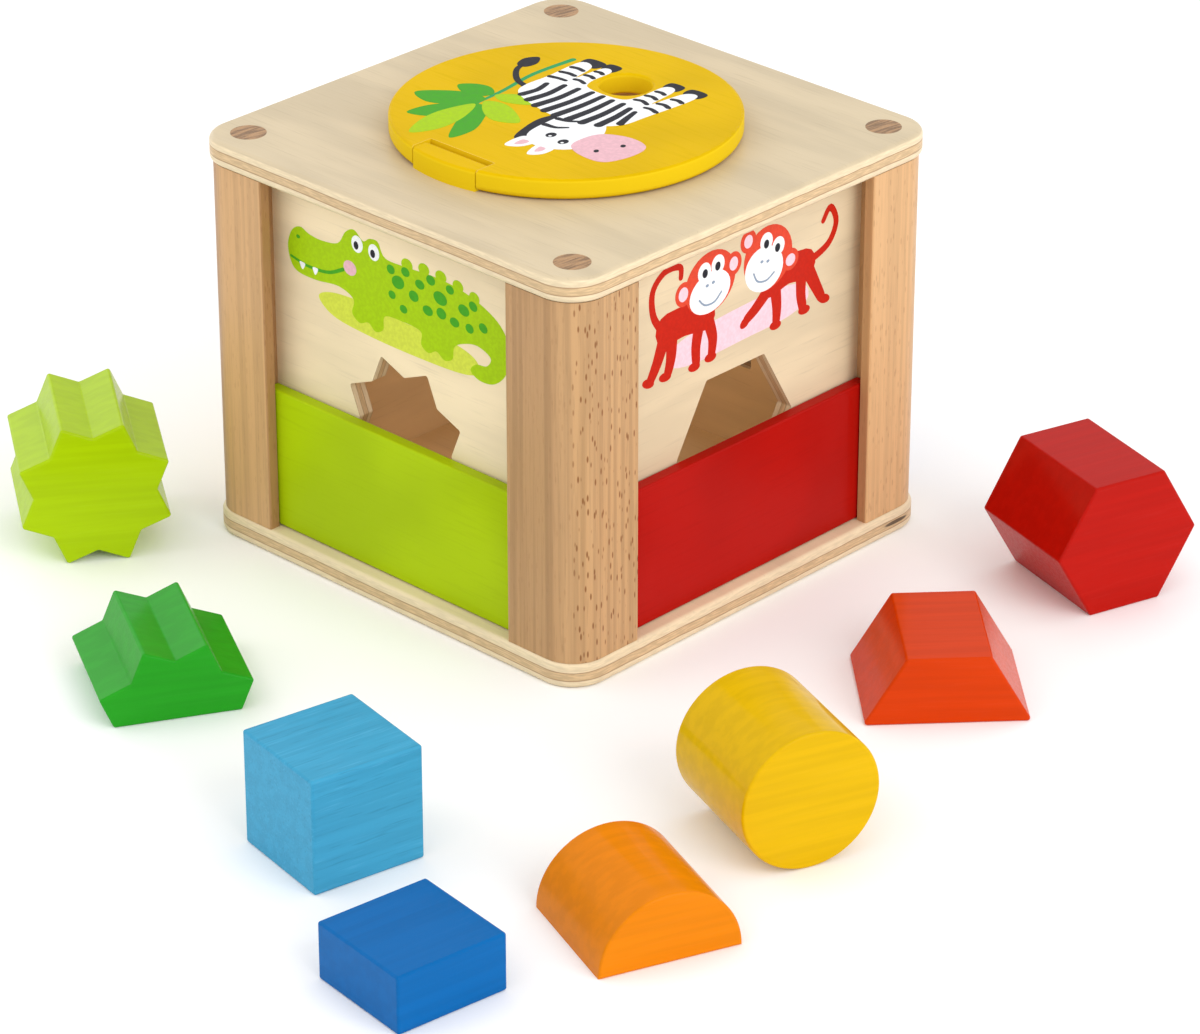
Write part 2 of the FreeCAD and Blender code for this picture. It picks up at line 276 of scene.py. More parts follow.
def birch_plywood(name, colours, tone, edge_axis, low, thickness, plies, long_axis, centre, void=None):
    """Birch plywood, sanded and clear lacquered: a pale cloudy face and striped plies on the edges."""
    material, tree, shader = start_material(name)
    veneer = (*colours.birch, 1.0)
    face = shade(veneer, tone)
    core = (*colours.birch_core, 1.0)
    # birch pores are about 0.1 mm wide; drawn 0.9 mm wide so that they show
    streak = noise(tree, drawn_out(0.9 * MM, 22 * MM, long_axis), 3.0, centre)
    cloud = noise(tree, drawn_out(14 * MM, 70 * MM, long_axis), 2.0, centre)
    pale = blend(tree, ramp(tree, cloud, 0.35, 0.68), shade(face, 0.93), shade(face, 1.06))
    figured = blend(tree, ramp(tree, streak, 0.56, 0.74, 0.0, 0.38), pale, shade(face, 0.76))
    # plies along the thickness: every second one is end grain and darker, with thin glue lines
    ply_size = drawn_out(1.0, thickness / plies, edge_axis)
    ply_space = grain_space(tree, ply_size, drawn_out(0.0, low, edge_axis))
    layer = add(tree, "ShaderNodeSeparateXYZ", {0: ply_space}).outputs[edge_axis]
    # the cloud bends the plies a little, so that they don't look ruled
    bent = reckon(tree, "SUBTRACT", reckon(tree, "MULTIPLY_ADD", cloud, PLY_BEND, layer), PLY_SHIFT)
    wave = reckon(tree, "SINE", reckon(tree, "MULTIPLY", bent, math.pi))
    pores = noise(tree, drawn_out(5 * MM, 0.5 * MM, edge_axis), 3.0)
    end_grain = blend(tree, ramp(tree, pores, 0.4, 0.65), shade(core, 0.86), shade(core, 1.1))
    long_grain = blend(tree, ramp(tree, pores, 0.35, 0.7), shade(veneer, 0.86), shade(veneer, 1.02))
    plied = blend(tree, ramp(tree, wave, -0.25, 0.2), end_grain, long_grain)
    glue_line = ramp(tree, reckon(tree, "ABSOLUTE", wave), 0.3, 0.08, 0.0, 0.75)
    glued = blend(tree, glue_line, plied, linear(GLUE))
    colour = blend(tree, ramp(tree, facing(tree, edge_axis), 0.45, 0.75), glued, figured)
    if void:
        # painted shade: a gap in a core ply is drawn as a dark sliver on the edge, in the colour of the
        # shadow inside it
        distance = add(tree, "ShaderNodeVectorMath", {
            0: grain_space(tree, VOID_HALF_SIZES, void)}, operation="LENGTH").outputs["Value"]
        colour = blend(tree, ramp(tree, distance, 1.0, 0.7, 0.0, 0.85), colour, linear(VOID_SHADOW))
    surface(tree, shader, colour, streak, 0.36, 0.5, 0.25, 0.12 * MM, 0.2)
    shader.inputs["Coat Weight"].default_value = 0.12
    shader.inputs["Coat Roughness"].default_value = 0.28
    return material


def beech(name, base, stripes, flecks, shade_y, shade_x, centre):
    """Beech, planed and clear lacquered: warm stripes on one face and short dark flecks on the other."""
    material, tree, shader = start_material(name)
    band = noise(tree, (2.2 * MM, 2.2 * MM, 170 * MM), 4.0, centre)
    fibre = noise(tree, (0.7 * MM, 0.7 * MM, 14 * MM), 3.0, centre)
    striped = blend(tree, ramp(tree, band, 0.40, 0.64, 0.0, stripes), shade(base, 1.06), shade(base, 0.7))
    fibrous = blend(tree, ramp(tree, fibre, 0.52, 0.75, 0.0, 0.4), striped, shade(base, 0.66))
    # ray flecks, 0.6 mm wide and about 2.5 mm long
    cells = add(tree, "ShaderNodeTexVoronoi", {
        "Vector": grain_space(tree, (1.5 * MM, 1.5 * MM, 5.5 * MM), centre), "Scale": 1.0})
    fleck = ramp(tree, cells.outputs["Distance"], 0.3, 0.14)
    sawn = ramp(tree, facing(tree, 0), 0.6, 0.8, 0.12, flecks)
    flecked = blend(tree, reckon(tree, "MULTIPLY", fleck, sawn), fibrous, linear(RAY_FLECK))
    # painted shade: faces that look along Y and faces that look along X are darkened by their own amounts, by
    # how the light falls on them
    painted_shade = ramp(tree, facing(tree, 0), 0.1, 0.6, shade_y, shade_x)
    toned = blend(tree, painted_shade, flecked, linear(BEECH_SHADE))
    surface(tree, shader, toned, fibre, 0.34, 0.5, 0.3, 0.12 * MM, 0.2)
    shader.inputs["Coat Weight"].default_value = 0.1
    shader.inputs["Coat Roughness"].default_value = 0.3
    return material


def beech_end_grain(name, base):
    """Sawn end of a beech dowel: brown, with slanting rays and fine pores."""
    material, tree, shader = start_material(name)
    rays = noise(tree, (0.9 * MM, 9 * MM, 9 * MM), 3.0, turn=math.radians(RAY_SLANT))
    pores = noise(tree, (0.6 * MM, 0.6 * MM, 0.6 * MM), 2.0)
    rayed = blend(tree, ramp(tree, rays, 0.38, 0.62), shade(base, 0.6), shade(base, 1.22))
    colour = blend(tree, ramp(tree, pores, 0.56, 0.72, 0.0, 0.3), rayed, shade(base, 0.5))
    surface(tree, shader, colour, pores, 0.45, 0.65, 0.4, 0.15 * MM, 0.5)
    return material


def lacquered_wood(name, base, fibre_size, wear_and_highlight_width, shine, edge_highlight, lit_rim=None):
    """Opaque satin lacquer on plywood: faint grain telegraphs through and the edges are paler."""
    material, tree, shader = start_material(name)
    base = (*base, 1.0)
    fibre = noise(tree, fibre_size, 4.0)
    cloud = noise(tree, (45 * MM, 45 * MM, 45 * MM), 1.0)
    tinted = blend(tree, ramp(tree, cloud, 0.35, 0.65), shade(base, 0.93), shade(base, 1.05))
    grained = blend(tree, ramp(tree, fibre, 0.5, 0.75, 0.0, 0.3), tinted, shade(base, 0.8))
    # painted highlight and wear: the edges are blended towards a brighter colour with some white
    paler = blended_with_white(shade(base, edge_highlight), EDGE_HIGHLIGHT_WHITE)
    colour = blend(tree, edge_wear_and_highlight(tree, wear_and_highlight_width, 0.62), grained, paler)
    if lit_rim:
        # painted light: the upright rim gets a lighter colour than the top, for the stronger light on the
        # lid's side
        colour = blend(tree, ramp(tree, facing(tree, 2), 0.75, 0.3), colour, lit_rim)
    surface(tree, shader, colour, fibre, 0.34, 0.46, 0.22, 0.1 * MM, 0.02)
    # a thin clear coat that only shines at a glancing view
    shader.inputs["Coat Weight"].default_value = shine
    shader.inputs["Coat IOR"].default_value = 1.2
    shader.inputs["Coat Roughness"].default_value = 0.25
    return material


def stained_beech(name, base, streaks, long_axis, centre, turn, wear_and_highlight_width):
    """Beech in a see-through stain under satin lacquer: streaks run along the grain, edges are paler."""
    material, tree, shader = start_material(name)
    base = (*base, 1.0)
    fibre = noise(tree, drawn_out(0.8 * MM, 16 * MM, long_axis), 3.0, centre, turn)
    band = noise(tree, drawn_out(4 * MM, 90 * MM, long_axis), 2.0, centre, turn)
    banded = blend(tree, ramp(tree, band, 0.38, 0.64), shade(base, 0.96), shade(base, 1.04))
    paler = (*(STAIN_GAIN * channel + STAIN_LIFT for channel in base[:3]), 1.0)
    streaked = blend(tree, ramp(tree, fibre, 0.56, 0.74, 0.0, streaks), banded, paler)
    dark_streaks = blend(tree, ramp(tree, fibre, 0.44, 0.28, 0.0, streaks), streaked, shade(base, 0.75))
    # paler edges: thin stain, and partly a painted highlight
    colour = blend(tree, edge_wear_and_highlight(tree, wear_and_highlight_width, 0.4), dark_streaks, paler)
    surface(tree, shader, colour, fibre, 0.3, 0.44, 0.25, 0.12 * MM, 0.02)
    # a thin clear coat that only shines at a glancing view
    shader.inputs["Coat Weight"].default_value = 0.45
    shader.inputs["Coat IOR"].default_value = 1.26
    shader.inputs["Coat Roughness"].default_value = 0.12
    return material


def screen_ink(hex_colour):
    """Screen-printed ink on lacquered wood: nearly opaque, satin, slightly uneven over the grain."""
    name = "screen_ink_" + hex_colour[1:].lower()
    if name in bpy.data.materials:
        return bpy.data.materials[name]
    material, tree, shader = start_material(name)
    base = linear(hex_colour)
    uneven = noise(tree, (1.2 * MM, 1.2 * MM, 1.2 * MM), 4.0)
    colour = blend(tree, ramp(tree, uneven, 0.35, 0.7), shade(base, 0.93), shade(base, 1.04))
    surface(tree, shader, colour, uneven, 0.36, 0.48, 0.15, 0.05 * MM, 0.06)
    return material


def dress(node, material):
    """Gives a CAD node its finish."""
    piece = NODES[node]
    if not piece.material_slots:
        raise RuntimeError(node + " has no material slot")
    for slot in piece.material_slots:
        slot.material = material


def link(name, data, place=(0, 0, 0), target=None):
    """Puts a lamp, the camera or the floor in the scene, turned towards its target."""
    thing = bpy.data.objects.new(name, data)
    thing.location = place
    if target:
        thing.rotation_euler = (Vector(target) - Vector(place)).to_track_quat("-Z", "Y").to_euler()
    bpy.context.scene.collection.objects.link(thing)
    return thing


CURVE_STEPS = 6
OVAL_STEPS = 32
ROUND_END_STEPS = 6
SUNK_LAYERS = 2.0  # how far a print reaches into its face, so that no gap shows under it


def smooth_points(points, closed):
    """Points of a smooth curve that passes through the given ones."""
    count = len(points)
    spans = count if closed else count - 1
    curve = []
    for span in range(spans):
        if closed:
            a, b, c, d = (Vector(points[(span + shift) % count]) for shift in (-1, 0, 1, 2))
        else:
            a, b, c, d = (Vector(points[min(max(span + shift, 0), count - 1)]) for shift in (-1, 0, 1, 2))
        for step in range(CURVE_STEPS):
            t = step / CURVE_STEPS
            curve.append(0.5 * (
                2 * b + (c - a) * t + (2 * a - 5 * b + 4 * c - d) * t * t
                + (3 * b - a - 3 * c + d) * t * t * t))
    if not closed:
        curve.append(Vector(points[-1]))
    return curve


def blob(*points):
    """Smooth closed outline."""
    return smooth_points(points, True)


def oval(across, up, wide, high=None, tilt=0):
    """Ellipse from its centre and half sizes, tilted by degrees."""
    high = high or wide
    turn = math.radians(tilt)
    outline = []
    for index in range(OVAL_STEPS):
        angle = 2 * math.pi * index / OVAL_STEPS
        x = wide * math.cos(angle)
        y = high * math.sin(angle)
        outline.append(Vector((
            across + x * math.cos(turn) - y * math.sin(turn),
            up + x * math.sin(turn) + y * math.cos(turn))))
    return outline


def brush(points, first, last):
    """Band along a smooth line whose half width runs from first to last, with round ends."""
    line = smooth_points(points, False)
    left = []
    right = []
    for index, here in enumerate(line):
        ahead = line[min(index + 1, len(line) - 1)]
        behind = line[max(index - 1, 0)]
        along = (ahead - behind).normalized()
        side = Vector((-along.y, along.x))
        half = first + (last - first) * index / (len(line) - 1)
        left.append(here + side * half)
        right.append(here - side * half)
    ends = []
    for middle, towards, half in ((line[-1], line[-1] - line[-2], last), (line[0], line[0] - line[1], first)):
        start = math.atan2(towards.y, towards.x) + math.pi / 2
        angles = [start - math.pi * step / ROUND_END_STEPS for step in range(1, ROUND_END_STEPS)]
        ends.append([middle + half * Vector((math.cos(angle), math.sin(angle))) for angle in angles])
    return left + ends[0] + right[::-1] + ends[1]


def print_picture(name, layers, face, body):
    """Makes one picture on a flat face. Each layer is (ink, outlines) and lies on the one before."""
    origin, across, up, out = face
    ink = bpy.context.scene.sorter_finish.ink_thickness
    vertices = []
    faces = []
    ink_of_face = []
    inks = list(dict.fromkeys(colour for colour, outlines in layers))
    for level, (colour, outlines) in enumerate(layers):
        for order, outline in enumerate(outlines):
            count = len(outline)
            first = len(vertices)
            # outlines of one layer differ a little in height, so that crossing ones don't share a plane
            top = (level + 1 + order / (len(outlines) + 1)) * ink
            for height in (-SUNK_LAYERS * ink, top):
                for point in outline:
                    vertices.append(origin + across * (point[0] * MM) + up * (point[1] * MM) + out * height)
            faces.append([first + index for index in range(count)][::-1])
            faces.append([first + count + index for index in range(count)])
            for index in range(count):
                after = (index + 1) % count
                faces.append([first + index, first + after, first + count + after, first + count + index])
            ink_of_face.extend([inks.index(colour)] * (count + 2))
    mesh = bpy.data.meshes.new(name)
    mesh.from_pydata(vertices, [], faces)
    for colour in inks:
        mesh.materials.append(screen_ink(colour))
    for polygon, ink_index in zip(mesh.polygons, ink_of_face):
        polygon.material_index = ink_index
    mesh.validate()
    mesh.update()
    picture = bpy.data.objects.new(name, mesh)
    bpy.context.scene.collection.objects.link(picture)
    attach(picture, body)


def wall_face(wall, quarter_turns):
    """Origin, across, up and outward directions of a wall's outer face, counted round from the star wall."""
    turn = Matrix.Rotation(math.pi / 2 * quarter_turns, 3, "Z")
    low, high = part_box(wall)
    depth = (-low[1], high[0], high[1], -low[0])[quarter_turns]
    out = turn @ Vector((0, -1, 0))
    return out * depth, turn @ Vector((1, 0, 0)), Vector((0, 0, 1)), out


# Inks
LIME = "#A4C812"
LEAF = "#46A024"
MEADOW = "#CFD84A"
ROSE = "#E3B4BD"
BLUSH = "#EFCBD6"
WHITE = "#F1F3F4"
BLACK = "#2A2A31"
RED = "#C02413"
CORAL = "#D94932"
SMILE = "#8B9CB0"
SKY = "#3F7FBE"
PALE_SKY = "#A9CBE6"
GOLD = "#E6B412"
TAN = "#B06A1E"
STEM = "#2E9B5A"

# Pictures: layers of (ink, outlines), in millimetres across and up the face that carries them
CROCODILE = [
    (MEADOW, [blob((-41, 101), (-34, 104.5), (-18, 105.5), (2, 104.5), (20, 105), (33, 102.5), (36, 97.5),
                   (27, 94.5), (4, 93.6), (-18, 94), (-34, 95.8))]),
    (LIME, [
        blob((-54.5, 110.2), (-55.6, 116), (-53.4, 121.8), (-49.3, 124.2), (-45, 122.8), (-39, 122.3),
             (-31, 123.8), (-27, 129.2), (-22.8, 131.2), (-18.6, 128.4), (-15.4, 130.2), (-11.4, 130.2),
             (-8, 125.4), (2, 125.3), (14, 126), (26, 125.4), (37, 122.8), (46, 118), (50.2, 110.5),
             (48.6, 101.5), (43, 95.8), (36, 94.8), (31.8, 97.2), (34.4, 100.2), (39.4, 101.2),
             (41.2, 104.8), (35, 107.2), (28, 105.6), (24.2, 103), (23.4, 98.6), (19.6, 96.8), (15.8, 98.8),
             (12, 97), (8.6, 99), (8.4, 103.8), (0, 104.6), (-8.6, 103.8), (-9.6, 98.6), (-13.4, 96.6),
             (-16.8, 98.8), (-21, 97.4), (-24.6, 100), (-23.8, 105.2), (-31, 107.8), (-42, 106.6),
             (-51, 107)),
        oval(2.4, 126.2, 2.7, 2.3), oval(10.4, 127.1, 2.6, 2.2), oval(18.4, 127, 2.6, 2.2),
        oval(26.4, 126, 2.5, 2.2, -8), oval(34, 124.2, 2.4, 2.1, -18)]),
    (LEAF, [
        oval(-5.4, 122.2, 1.9, 1.7), oval(1.6, 123.4, 2, 1.7), oval(13.6, 124.2, 2.1, 1.8),
        oval(22.6, 123.6, 1.9, 1.6), oval(33.4, 121, 2, 1.7, -20), oval(5.4, 115.8, 2.3, 2),
        oval(-5, 113, 1.7, 1.5), oval(18.4, 113.6, 2.3, 2), oval(31.6, 112.4, 1.9, 1.7),
        oval(-2, 118.5, 3, 2.4, 10), oval(8.4, 121, 2.2, 1.7), oval(18, 119, 3.2, 2.4, -8),
        oval(29, 118.2, 2.6, 2, -10), oval(12, 112.6, 2.4, 1.8), oval(24.6, 112.4, 2.2, 1.7),
        oval(38, 114.6, 2, 1.7, -20), oval(0.4, 109.4, 1.8, 1.5),
        brush([(-54.2, 112), (-46, 110.6), (-36, 111.4), (-28.6, 114.8)], 0.45, 0.7),
        oval(-50.4, 120.2, 0.9, 0.7)]),
    (ROSE, [oval(-25.2, 116.4, 3.1, 2.7)]),
    (WHITE, [
        oval(-21.4, 126.4, 2.7, 3.1), oval(-13.4, 125.8, 2.6, 3),
        blob((-50, 111), (-48.6, 108.6), (-47.2, 110.8), (-48.6, 111.3)),
        blob((-43.6, 110.7), (-42.3, 108.4), (-40.9, 110.8), (-42.2, 111.2))]),
    (BLACK, [oval(-21.9, 125.8, 1.15, 1.5), oval(-13.9, 125.2, 1.15, 1.5)]),
]

MONKEYS = [
    (BLUSH, [blob((-34, 101), (-27, 105.6), (-10, 107.6), (6, 108.4), (22, 108.6), (34, 106), (36, 100),
                  (26, 96.4), (4, 95.6), (-18, 95), (-30, 96.6))]),
    (RED, [
        brush([(-36, 112), (-40.6, 119), (-41, 128), (-35.4, 133.2), (-28, 132.8), (-27.4, 128.8)], 1.5, 1.1),
        brush([(36, 113.5), (46, 117), (50, 124), (47, 130.4), (43.4, 126.4)], 1.5, 1.1),
        brush([(-15.6, 110.6), (-25, 112.4), (-33.6, 112)], 5.2, 6),
        brush([(-35.6, 108.6), (-38.6, 101.6), (-41.8, 96.2)], 3, 2), oval(-43, 95.4, 3, 1.7, -20),
        brush([(-31.6, 108), (-32, 101), (-33.4, 96)], 2.8, 2), oval(-34.8, 95, 3, 1.7, -8),
        brush([(-18.4, 108), (-19.8, 101), (-19.6, 95)], 2.7, 1.9), oval(-20.6, 93.8, 2.9, 1.7, -6),
        brush([(-13.6, 108), (-11.6, 101.6), (-12, 96)], 2.6, 1.9), oval(-12.6, 94.6, 2.9, 1.7, -4),
        brush([(17.4, 111.6), (26, 114), (34, 113.2)], 5, 5.8),
        brush([(36.4, 110), (39.8, 104), (43, 98.4)], 2.9, 2), oval(44.6, 97, 3, 1.7, -18),
        brush([(32.6, 109), (32.6, 102.6), (33.6, 97.6)], 2.7, 2), oval(34.4, 96.2, 3, 1.7, -6),
        brush([(14.8, 109), (9.6, 105), (5.4, 102.6)], 2.6, 1.9), oval(4.4, 101.6, 2.6, 1.8, 30),
        brush([(19.6, 108.6), (20.4, 102), (20.2, 96.8)], 2.7, 1.9), oval(19.8, 95.4, 2.9, 1.7, -6)]),
    (CORAL, [
        oval(-26, 122.2, 4.1, 4.4), oval(-1.6, 125.4, 3.9, 4.3), oval(-13, 122.4, 12.4, 11.2, 8),
        oval(5.6, 131, 3.9, 4.2), oval(26.8, 117.6, 4.2, 4), oval(15.6, 122, 12.2, 11.6, -22)]),
    (BLUSH, [oval(-26.2, 122.2, 2.3, 2.6), oval(-1.6, 125.4, 2.1, 2.5),
             oval(5.6, 131, 2.1, 2.4), oval(26.9, 117.4, 2.4, 2.2)]),
    (WHITE, [
        oval(-13.2, 118.8, 10, 7.4, 6), oval(-16, 126.8, 3.2, 3.6), oval(-9.4, 127.6, 3.2, 3.6),
        oval(13.6, 118.4, 9.6, 8.2, -14), oval(14.6, 128, 3.1, 3.4), oval(20.6, 124.6, 3.1, 3.4)]),
    (SMILE, [
        brush([(-18.4, 117.4), (-15.6, 114.8), (-11, 114.6), (-7.6, 117.2)], 0.35, 0.35),
        brush([(8.4, 118.2), (10.4, 114.8), (14.8, 113.8), (18.6, 115.6)], 0.35, 0.35),
        oval(-14.6, 121.6, 0.8, 0.55), oval(-11.6, 121.9, 0.8, 0.55),
        oval(12.4, 121.4, 0.8, 0.55), oval(15.4, 120.7, 0.8, 0.55)]),
    (BLACK, [oval(-15.7, 126.4, 1.3, 1.6), oval(-9.5, 127.1, 1.3, 1.6),
             oval(14.6, 127.2, 1.3, 1.6), oval(20.2, 124.1, 1.3, 1.6)]),
]

ELEPHANT = [
    (PALE_SKY, [
        blob((-38, 99), (-24, 104), (0, 105), (26, 104), (40, 99.4), (30, 95), (0, 93.6), (-28, 95))]),
    (SKY, [
        brush([(34, 112), (41, 108), (43.6, 102)], 1.3, 0.8),
        blob((-8, 122), (2, 127.4), (16, 127.6), (28, 122.8), (33.4, 113), (32.6, 103), (31.8, 95.4),
             (26, 94.2), (21.6, 96), (20.6, 103.4), (8, 104.8), (3, 103.4), (2.4, 95.8), (-3, 94.2),
             (-8, 96), (-10, 106), (-12, 114)),
        brush([(-22, 119), (-34, 114), (-40, 105), (-45, 101.6), (-49.6, 105)], 5.2, 2),
        oval(-16, 121.6, 12.4, 11.4)]),
    (PALE_SKY, [
        oval(-7, 121.4, 7.2, 9, 12), oval(29, 95.8, 1.1), oval(25.4, 95.6, 1.1),
        oval(-0.6, 95.8, 1.1), oval(-4.4, 95.7, 1.1)]),
    (ROSE, [oval(-16.4, 115.2, 2.6, 2.2), oval(-6.8, 121, 4.4, 6, 12)]),
    (WHITE, [oval(-21.4, 124, 2.7, 3)]),
    (BLACK, [oval(-22, 123.5, 1.2, 1.5)]),
]

GIRAFFE = [
    (MEADOW, [blob((-36, 98.6), (-20, 103.4), (4, 104.6), (26, 103.4), (37, 99), (26, 95), (0, 93.6),
                   (-24, 94.8))]),
    (GOLD, [
        brush([(24, 113), (31, 110), (34, 103)], 1.1, 0.8),
        blob((-14, 110), (-4, 113.6), (12, 114.4), (24, 113.6), (28.4, 108), (27.4, 100), (26.6, 94.6),
             (22.4, 93.6), (19.4, 95), (18.6, 102), (6, 103.4), (-3.4, 103), (-4.4, 95), (-8.6, 93.6),
             (-12.4, 95), (-14.4, 102)),
        brush([(-8, 108), (-14, 116), (-20, 124.4)], 6.2, 3.8),
        oval(-25, 126.4, 8.2, 5.8, 18),
        brush([(-22, 130), (-22.6, 135.4)], 0.8, 1.1), brush([(-18.6, 129.4), (-17.6, 134.8)], 0.8, 1.1),
        oval(-14.6, 129.6, 3, 1.7, 28)]),
    (TAN, [
        oval(-2, 108.6, 2.8, 2.2, 20), oval(7.4, 109.6, 3, 2.4, -10), oval(17, 108.8, 2.9, 2.3, 15),
        oval(23.6, 103.4, 1.8, 2.2), oval(2.4, 104.9, 1.6, 1.2), oval(12.4, 104.6, 1.9, 1.3),
        oval(-12.6, 113, 2, 1.8), oval(-9, 106.4, 1.9, 1.5), oval(-17.6, 119.4, 1.8, 1.6),
        oval(-22.8, 136, 1.5), oval(-17.4, 135.4, 1.5), oval(34.4, 101.8, 1.7, 2.3)]),
    (WHITE, [oval(-30, 124.2, 4.2, 3.4, 18), oval(-22.8, 128, 2.2, 2.5)]),
    (BLACK, [oval(-23.2, 127.6, 1, 1.3), oval(-31.8, 124.8, 0.5, 0.4),
             brush([(-32.6, 122.4), (-30, 121.7), (-27.8, 122.6)], 0.25, 0.25)]),
]

ZEBRA = [
    (STEM, [brush([(-28.6, 33), (-29.4, 14), (-26.6, -4), (-25.4, -20)], 1.15, 0.7)]),
    (LEAF, [
        blob((-26, -12.6), (-33, -12.4), (-41, -17), (-47.8, -25), (-39, -28.4), (-30, -23.6), (-25.6, -17)),
        blob((-24.8, -17), (-32.4, -24.4), (-36.6, -31.4), (-37, -39.6), (-29, -36.6), (-23.6, -28)),
        blob((-24.4, -18), (-22.4, -27), (-17.8, -36), (-11, -45), (-9.6, -35), (-14.4, -25), (-19.4, -18.4)),
        blob((-26.8, -8), (-31.6, -4.4), (-37.4, -5.6), (-41.6, -10.4), (-36, -14), (-29.4, -13))]),
    (LIME, [
        blob((-25.4, -18.5), (-29.6, -30), (-29, -41), (-24, -51), (-19, -41.6), (-20, -29)),
        blob((-24.6, -14.6), (-18.6, -21.4), (-10.6, -24.4), (-3, -20), (-9.4, -14.6), (-18, -11.6)),
        blob((-25.8, -8.4), (-20, -10.6), (-12.4, -7.4), (-8, -1.6), (-15.8, -0.8), (-22, -3.6))]),
    (BLACK, [
        brush([(-20.6, 4), (-29.4, 6.4), (-36.4, 13), (-38.4, 19.4)], 1.3, 0.9),
        blob((-39.8, 16.6), (-36, 16.8), (-35.2, 22), (-38.6, 26.4), (-41.6, 22)),
        blob((-0.4, -12), (1.4, -22.6), (4.6, -30), (9, -29), (10.4, -22), (8, -8), (3.4, -3)),
        blob((-24.4, 32), (-24.8, 37.4), (-17, 37.6), (-17.6, 32)),
        blob((-15.6, 33.4), (-16.2, 38.6), (-10.6, 38.8), (-10.8, 33.4)),
        blob((11.2, 36), (10.8, 41), (16.8, 41.2), (16.8, 36)),
        blob((20.2, 36.4), (19.8, 41.6), (26.8, 41.8), (26.4, 36.4))]),
    (WHITE, [
        blob((-21.4, -1.4), (-10, -5.6), (4, -7.6), (16, -4.6), (23.4, 2.4), (24.8, 14), (26, 36.6),
             (20.6, 36.8), (18.4, 22.4), (16.4, 36.4), (11.4, 36.6), (11, 24), (7.4, 18.2), (-6.4, 18),
             (-10.4, 23), (-11, 33.8), (-15.4, 34), (-16.4, 21.6), (-19, 32.4), (-25, 32.6), (-24.4, 16),
             (-24.6, 5)),
        blob((4.4, 0), (3.4, -12), (5.6, -24.6), (13.4, -29.8), (22.4, -27), (27.4, -19.4), (25.4, -9),
             (19.6, -1), (12, 3)),
        blob((6, -27), (6.4, -36.4), (11.6, -33.6), (12.4, -27)),
        blob((14.6, -28), (17.2, -36.8), (21.2, -33.4), (20.6, -27))]),
    (ROSE, [
        blob((23.4, -22), (31, -25.4), (40.4, -24.4), (44, -15), (42.4, -5.6), (33.6, -3.4), (24.4, -7.4),
             (22, -14.6)),
        blob((8, -29.4), (8.4, -33.8), (10.6, -32), (10.8, -29)),
        blob((16.4, -29.8), (17.8, -33.8), (19.4, -32), (18.8, -29.4))]),
    (BLACK, [
        brush([(-19.6, -1.6), (-18.6, 5), (-20, 11)], 1.5, 1),
        brush([(-14.6, -3.4), (-13.4, 5), (-14.4, 14)], 1.7, 1.1),
        brush([(-9.4, -5.2), (-8.2, 5), (-8.8, 15)], 1.7, 1.1),
        brush([(-4, -6.2), (-3, 5), (-3.2, 16)], 1.7, 1.1),
        brush([(1.4, -6.8), (2.2, 5), (1.8, 16)], 1.7, 1.1),
        brush([(7, -6.6), (7.4, 5), (6.6, 15.6)], 1.7, 1.1),
        brush([(12.4, -5.2), (12.6, 5), (11.4, 16)], 1.7, 1.1),
        brush([(18, -3), (17.4, 6), (15.8, 14.6)], 1.7, 1.1),
        brush([(22.4, 3), (20.8, 8), (19.2, 13.6)], 1.5, 0.9),
        brush([(-23.8, 16.4), (-20.4, 17.2), (-17.2, 17.4)], 1, 0.8),
        brush([(-23.8, 22), (-20.8, 22.8), (-17.8, 22.6)], 1, 0.9),
        brush([(-24, 27.6), (-21.4, 28.2), (-18.8, 27.8)], 1, 0.9),
        brush([(-15.6, 20.4), (-13.6, 20.8), (-10.8, 20)], 0.9, 0.8),
        brush([(-15.6, 25.6), (-13.4, 26), (-11.6, 25.4)], 0.9, 0.9),
        brush([(-15.2, 30.4), (-13.4, 30.8), (-11.8, 30.2)], 0.9, 0.9),
        brush([(11.8, 21.6), (14.4, 22.4), (17.4, 21.4)], 0.9, 0.9),
        brush([(12, 26.8), (14.4, 27.4), (16.8, 26.6)], 0.9, 0.9),
        brush([(12.2, 31.8), (14.2, 32.2), (16, 31.6)], 0.9, 0.9),
        brush([(24.4, 18.4), (21.4, 19.2), (19, 18.8)], 1, 0.8),
        brush([(24.8, 24.2), (22.2, 25), (19.8, 24.4)], 1, 0.9),
        brush([(25.2, 30.4), (23, 31), (20.8, 30.4)], 1, 0.9),
        brush([(4.4, -15), (8.8, -14.4), (12, -11.6)], 1.2, 0.5),
        brush([(4.2, -8.4), (8.4, -7.4), (12, -4.4)], 1.2, 0.5),
        oval(12.2, -20, 1.7, 2.1), oval(19.2, -21.4, 1.7, 2.1),
        oval(32.6, -19.4, 1.2, 0.9, -60), oval(36.2, -10.2, 1.2, 0.9, -60)]),
    (WHITE, [oval(12.6, -20.9, 0.6), oval(19.6, -22.3, 0.6)]),
]


# Stage, in metres from the middle of the box's underside
PAPER_WHITE = (0.99, 0.99, 0.99, 1)
PAPER_ROUGHNESS = 0.9
# Lamp, its place, its side and its share of the key power
LAMPS = (
    ("key_light", (-1.5, -1.7, 1.9), 1.8, 0.5),
    ("fill_light", (2.3, -0.2, 1.3), 1.8, 1.35),
    ("side_light", (-2.3, 0.5, 0.75), 1.3, 0.35),
)
LAMP_TARGET = (0, 0, 0.07)
CAVITY_COLOUR = (1.0, 0.68, 0.42)
CAVITY_POWER = 0.05
CAVITY_RADIUS = 0.03
CAVITY_PLACE = (0, 0, 0.085)
CAMERA_PLACE = (1.1146, -1.1508, 0.8338)
CAMERA_TARGET = (0.00826, 0.0079, 0.00145)
SENSOR_WIDTH = 36  # millimetres
SIGHT_LIMIT = 60


